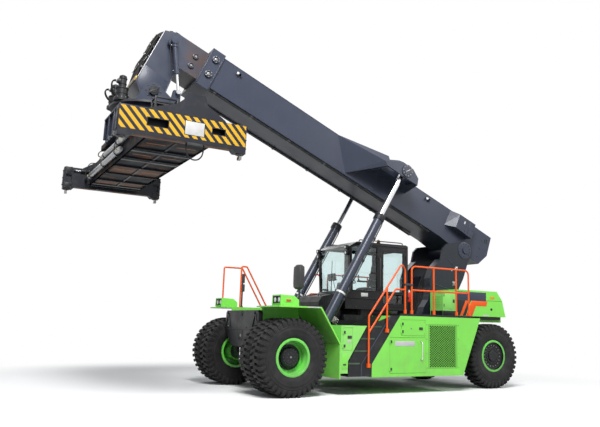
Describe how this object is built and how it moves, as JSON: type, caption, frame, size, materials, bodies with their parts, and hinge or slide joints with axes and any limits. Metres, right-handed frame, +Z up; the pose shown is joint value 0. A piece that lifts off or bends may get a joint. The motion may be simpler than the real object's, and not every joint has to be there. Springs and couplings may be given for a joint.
{
  "type": "reach stacker",
  "caption": "Port container handler with a telescopic boom, slewing top spreader, sliding cab, twin drive wheels and a steered rear axle.",
  "frame": {"origin": "on the ground, under the middle of the whole machine's box", "axes": "+X is the driving direction, towards the spreader; +Y is the left of a driver facing forward; +Z is up"},
  "size_m": [11.214, 6.03, 8.0129],
  "materials": {
    "black_paint": "semi-gloss black paint",
    "black_plastic": "matt black plastic",
    "cab_paint": "gloss black paint on cab steel",
    "clear_glass": "clear safety glass",
    "cylinder_paint": "slate grey paint on honed steel tube",
    "damper_paint": "black paint",
    "dark_paint": "dark slate grey paint",
    "green_paint": "gloss lime green body paint",
    "grille_paint": "lime green paint on expanded metal",
    "hose_rubber": "black hose rubber",
    "lock_steel": "worn steel",
    "locker_green": "gloss lime green paint on folded sheet",
    "motor_paint": "dark paint",
    "rail_paint": "orange paint on tube",
    "rim_paint": "lime green paint on steel rims",
    "rod_chrome": "hard chrome",
    "seat_fabric": "dark woven cloth",
    "tyre_rubber": "matt black rubber",
    "weight_green": "lime green paint over a thick cast slab"
  },
  "bodies": {
    "chassis": {"main_frame": "black_paint", "front_axle": "black_paint", "rear_axle": "black_paint", "tower": "dark_paint", "counterweight": "weight_green", "fenders": "green_paint", "front_lockers": "locker_green", "stairs": "black_paint", "decks": "black_paint", "rear_lockers": "locker_green", "handrails": "rail_paint", "headlamps": "green_paint", "mirrors": "black_plastic", "side_bodies": "green_paint", "grilles": "grille_paint", "battery_packs": "black_plastic", "cab_rails": "black_paint", "valve_hood": "black_paint"},
    "boom_outer": {"outer_boom": "dark_paint", "wear_pads": "black_plastic"},
    "boom_inner": {"inner_boom": "dark_paint"},
    "damper_tubes": {"damper_tubes": "damper_paint"},
    "damper_rods": {"damper_rods": "rod_chrome"},
    "yoke": {"yoke": "dark_paint", "slew_motors": "motor_paint"},
    "slew_frame": {"slew_frame": "dark_paint"},
    "spreader": {"spreader_frame": "dark_paint"},
    "beam_left": {"end_beam_left": "dark_paint", "hose_loop": "hose_rubber"},
    "beam_right": {"end_beam_right": "dark_paint"},
    "cab": {"cab_shell": "cab_paint", "cab_glass": "clear_glass", "seat": "seat_fabric", "console": "black_plastic"},
    "cab_door": {"cab_door": "cab_paint", "cab_door_glass": "clear_glass"},
    "front_wheels_left": {"front_tyres_left": "tyre_rubber", "front_rims_left": "rim_paint"},
    "knuckle_left": {"steer_knuckle_left": "black_paint"},
    "rear_wheel_left": {"rear_tyre_left": "tyre_rubber", "rear_rim_left": "rim_paint"},
    "lift_tube_left": {"lift_tube_left": "cylinder_paint"},
    "lift_rod_left": {"lift_rod_left": "rod_chrome"},
    "upper_door_left": {"upper_door_left": "green_paint"},
    "lower_door_left": {"lower_door_left": "green_paint"},
    "locker_door_left": {"locker_door_left": "locker_green"},
    "twistlock_front_left": {"twistlock_front_left": "lock_steel"},
    "twistlock_rear_left": {"twistlock_rear_left": "lock_steel"},
    "front_wheels_right": {"front_tyres_right": "tyre_rubber", "front_rims_right": "rim_paint"},
    "knuckle_right": {"steer_knuckle_right": "black_paint"},
    "rear_wheel_right": {"rear_tyre_right": "tyre_rubber", "rear_rim_right": "rim_paint"},
    "lift_tube_right": {"lift_tube_right": "cylinder_paint"},
    "lift_rod_right": {"lift_rod_right": "rod_chrome"},
    "upper_door_right": {"upper_door_right": "green_paint"},
    "lower_door_right": {"lower_door_right": "green_paint"},
    "locker_door_right": {"locker_door_right": "locker_green"},
    "twistlock_front_right": {"twistlock_front_right": "lock_steel"},
    "twistlock_rear_right": {"twistlock_rear_right": "lock_steel"}
  },
  "joints": [
    {"name": "front_wheels_spin_left", "type": "hinge", "parent": "chassis", "child": "front_wheels_left", "pos_m": [1.45302, 0, 0.805], "axis": [0, 1, 0], "continuous": true},
    {"name": "front_wheels_spin_right", "type": "hinge", "parent": "chassis", "child": "front_wheels_right", "pos_m": [1.45302, 0, 0.805], "axis": [0, 1, 0], "continuous": true},
    {"name": "steer_left", "type": "hinge", "parent": "chassis", "child": "knuckle_left", "pos_m": [-4.54698, 1, 0.805], "axis": [0, 0, 1], "range_deg": [-50, 50]},
    {"name": "rear_wheel_spin_left", "type": "hinge", "parent": "knuckle_left", "child": "rear_wheel_left", "pos_m": [-4.54698, 1.39, 0.805], "axis": [0, 1, 0], "continuous": true},
    {"name": "steer_right", "type": "hinge", "parent": "chassis", "child": "knuckle_right", "pos_m": [-4.54698, -1, 0.805], "axis": [0, 0, 1], "range_deg": [-50, 50]},
    {"name": "rear_wheel_spin_right", "type": "hinge", "parent": "knuckle_right", "child": "rear_wheel_right", "pos_m": [-4.54698, -1.39, 0.805], "axis": [0, 1, 0], "continuous": true},
    {"name": "boom_lift", "type": "hinge", "parent": "chassis", "child": "boom_outer", "pos_m": [-4.43898, 0, 3.588], "axis": [0, -1, 0], "range_deg": [-22.85, 37.15]},
    {"name": "boom_extend", "type": "slide", "parent": "boom_outer", "child": "boom_inner", "axis": [-0.9215, 0, -0.3883], "range_m": [-6.5, 0]},
    {"name": "lift_foot_left", "type": "hinge", "parent": "chassis", "child": "lift_tube_left", "pos_m": [0.27802, 1.05, 1.325], "axis": [0, -1, 0], "range_deg": [-4, 6]},
    {"name": "lift_stroke_left", "type": "slide", "parent": "lift_tube_left", "child": "lift_rod_left", "axis": [-0.4944, 0, 0.8692], "range_m": [-1.14, 1.86]},
    {"name": "lift_foot_right", "type": "hinge", "parent": "chassis", "child": "lift_tube_right", "pos_m": [0.27802, -1.05, 1.325], "axis": [0, -1, 0], "range_deg": [-4, 6]},
    {"name": "lift_stroke_right", "type": "slide", "parent": "lift_tube_right", "child": "lift_rod_right", "axis": [-0.4944, 0, 0.8692], "range_m": [-1.14, 1.86]},
    {"name": "spreader_tilt", "type": "hinge", "parent": "boom_inner", "child": "yoke", "pos_m": [4.39456, 0, 6.47912], "axis": [0, -1, 0], "range_deg": [-38, 23.5]},
    {"name": "damper_top", "type": "hinge", "parent": "boom_inner", "child": "damper_tubes", "pos_m": [4.04374, 0, 7.71595], "axis": [0, -1, 0], "range_deg": [-1.5, 2]},
    {"name": "damper_stroke", "type": "slide", "parent": "damper_tubes", "child": "damper_rods", "axis": [-0.1417, 0, -0.9899], "range_m": [-0.33, 0.21]},
    {"name": "slew", "type": "hinge", "parent": "yoke", "child": "slew_frame", "pos_m": [4.38802, 0, 6.1], "axis": [0, 0, 1], "range_deg": [-105, 195]},
    {"name": "side_shift", "type": "slide", "parent": "slew_frame", "child": "spreader", "axis": [0, 1, 0], "range_m": [-0.8, 0.8]},
    {"name": "telescope_left", "type": "slide", "parent": "spreader", "child": "beam_left", "axis": [0, -1, 0], "range_m": [-3.05, 0]},
    {"name": "telescope_right", "type": "slide", "parent": "spreader", "child": "beam_right", "axis": [0, 1, 0], "range_m": [-3.05, 0]},
    {"name": "lock_turn_front_left", "type": "hinge", "parent": "beam_left", "child": "twistlock_front_left", "pos_m": [5.51752, 2.9265, 4.6725], "axis": [0, 0, 1], "range_deg": [0, 90]},
    {"name": "lock_turn_rear_left", "type": "hinge", "parent": "beam_left", "child": "twistlock_rear_left", "pos_m": [3.25852, 2.9265, 4.6725], "axis": [0, 0, 1], "range_deg": [0, 90]},
    {"name": "lock_turn_front_right", "type": "hinge", "parent": "beam_right", "child": "twistlock_front_right", "pos_m": [5.51752, -2.9265, 4.6725], "axis": [0, 0, 1], "range_deg": [0, 90]},
    {"name": "lock_turn_rear_right", "type": "hinge", "parent": "beam_right", "child": "twistlock_rear_right", "pos_m": [3.25852, -2.9265, 4.6725], "axis": [0, 0, 1], "range_deg": [0, 90]},
    {"name": "cab_slide", "type": "slide", "parent": "chassis", "child": "cab", "axis": [1, 0, 0], "range_m": [-0.4, 0]},
    {"name": "cab_door_hinge", "type": "hinge", "parent": "cab", "child": "cab_door", "pos_m": [-2.34898, 0.7943, 2.6], "axis": [0, 0, 1], "range_deg": [0, 90]},
    {"name": "upper_door_hinge_left", "type": "hinge", "parent": "chassis", "child": "upper_door_left", "pos_m": [-1.27498, 2.0543, 1.465], "axis": [0, 0, -1], "range_deg": [0, 100]},
    {"name": "lower_door_hinge_left", "type": "hinge", "parent": "chassis", "child": "lower_door_left", "pos_m": [-0.95498, 2.0543, 0.85], "axis": [0, 0, -1], "range_deg": [0, 100]},
    {"name": "locker_door_hinge_left", "type": "hinge", "parent": "chassis", "child": "locker_door_left", "pos_m": [0.28502, 2.0543, 1.195], "axis": [0, 0, -1], "range_deg": [0, 100]},
    {"name": "upper_door_hinge_right", "type": "hinge", "parent": "chassis", "child": "upper_door_right", "pos_m": [-1.27498, -2.0543, 1.465], "axis": [0, 0, 1], "range_deg": [0, 100]},
    {"name": "lower_door_hinge_right", "type": "hinge", "parent": "chassis", "child": "lower_door_right", "pos_m": [-0.95498, -2.0543, 0.85], "axis": [0, 0, 1], "range_deg": [0, 100]},
    {"name": "locker_door_hinge_right", "type": "hinge", "parent": "chassis", "child": "locker_door_right", "pos_m": [0.28502, -2.0543, 1.195], "axis": [0, 0, 1], "range_deg": [0, 100]}
  ],
  "couplings": [
    {"joint": "steer_right", "follows": "steer_left", "ratio": 1},
    {"joint": "lift_foot_left", "follows": "boom_lift", "ratio": 0.14},
    {"joint": "lift_stroke_left", "follows": "boom_lift", "m_per_rad": 2.85},
    {"joint": "lift_foot_right", "follows": "boom_lift", "ratio": 0.14},
    {"joint": "lift_stroke_right", "follows": "boom_lift", "m_per_rad": 2.85},
    {"joint": "spreader_tilt", "follows": "boom_lift", "ratio": -1},
    {"joint": "damper_top", "follows": "boom_lift", "ratio": 0.03},
    {"joint": "damper_stroke", "follows": "boom_lift", "m_per_rad": -0.5},
    {"joint": "telescope_right", "follows": "telescope_left", "ratio": 1},
    {"joint": "lock_turn_rear_left", "follows": "lock_turn_front_left", "ratio": 1},
    {"joint": "lock_turn_front_right", "follows": "lock_turn_front_left", "ratio": 1},
    {"joint": "lock_turn_rear_right", "follows": "lock_turn_front_left", "ratio": 1}
  ]
}
